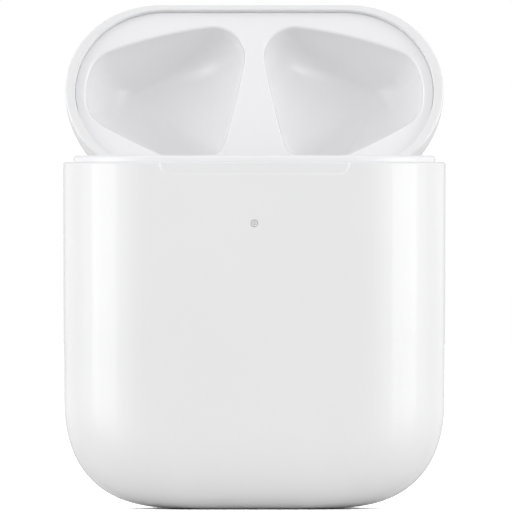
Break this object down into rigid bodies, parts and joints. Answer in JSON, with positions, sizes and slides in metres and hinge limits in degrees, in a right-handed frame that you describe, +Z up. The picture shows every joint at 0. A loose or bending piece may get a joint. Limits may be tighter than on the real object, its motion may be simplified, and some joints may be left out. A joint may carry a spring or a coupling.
{
  "type": "earbud charging case",
  "caption": "Pocket charging case for wireless earbuds: a rounded glossy shell on a flat base, with a hinged lid standing open behind it and moulded earbud pockets.",
  "frame": {"origin": "centre of the open case's bounding box, at the level of the base that it stands on", "axes": "+Z up from the base, +Y towards the hinge and the open lid, -Y the front with the status light, +X the case's right as seen from the front"},
  "size_m": [0.0444, 0.0391, 0.0587],
  "materials": {
    "shell_white": "polished, high gloss",
    "tray_white": "moulded, semi-gloss",
    "led_lens": "translucent, smooth",
    "hinge_steel": "satin",
    "port_aluminium": "polished edge",
    "magnet_nickel": "nickel plated",
    "port_black": "moulded",
    "board_green": "solder mask",
    "flex_amber": "polyimide film",
    "chip_black": "epoxy",
    "contact_gold": "gold plated",
    "coil_copper": "enamelled wire",
    "ferrite_grey": "sintered",
    "battery_pouch": "laminated foil"
  },
  "bodies": {
    "case_body": {"outer_shell": "shell_white", "earbud_tray": "tray_white", "status_led_window": "led_lens", "status_led": "led_lens", "led_flex_board": "flex_amber", "lid_sensor": "chip_black", "button_switch": "chip_black", "button_board": "board_green", "battery_cell": "battery_pouch", "battery_protection_board": "board_green", "main_board": "board_green", "charge_controller": "chip_black", "microcontroller": "chip_black", "power_inductor": "ferrite_grey", "charging_coil": "coil_copper", "coil_ferrite_sheet": "ferrite_grey", "port_trim_ring": "port_aluminium", "charging_port_housing": "port_black", "charging_port_shield": "hinge_steel", "port_flex": "flex_amber", "contact_board": "flex_amber", "left_front_charge_contact": "contact_gold", "left_rear_charge_contact": "contact_gold", "right_front_charge_contact": "contact_gold", "right_rear_charge_contact": "contact_gold", "left_latch_magnet": "magnet_nickel", "right_latch_magnet": "magnet_nickel", "left_earbud_magnet": "magnet_nickel", "right_earbud_magnet": "magnet_nickel", "hinge_body_leaf": "hinge_steel", "hinge_pin": "hinge_steel", "hinge_detent_spring": "hinge_steel"},
    "lid": {"lid_shell": "shell_white", "lid_liner": "tray_white", "hinge_lid_leaf": "hinge_steel", "left_lid_magnet": "magnet_nickel", "right_lid_magnet": "magnet_nickel"},
    "button": {"setup_button": "shell_white"}
  },
  "joints": [
    {"name": "lid_hinge", "type": "hinge", "parent": "case_body", "child": "lid", "pos_m": [0, 0.0011, 0.0395], "axis": [1, 0, 0], "range_deg": [0, 109]},
    {"name": "setup_button_press", "type": "slide", "parent": "case_body", "child": "button", "axis": [0, -1, 0], "range_m": [0, 0.00025], "stiffness_N_per_m": 4000}
  ]
}
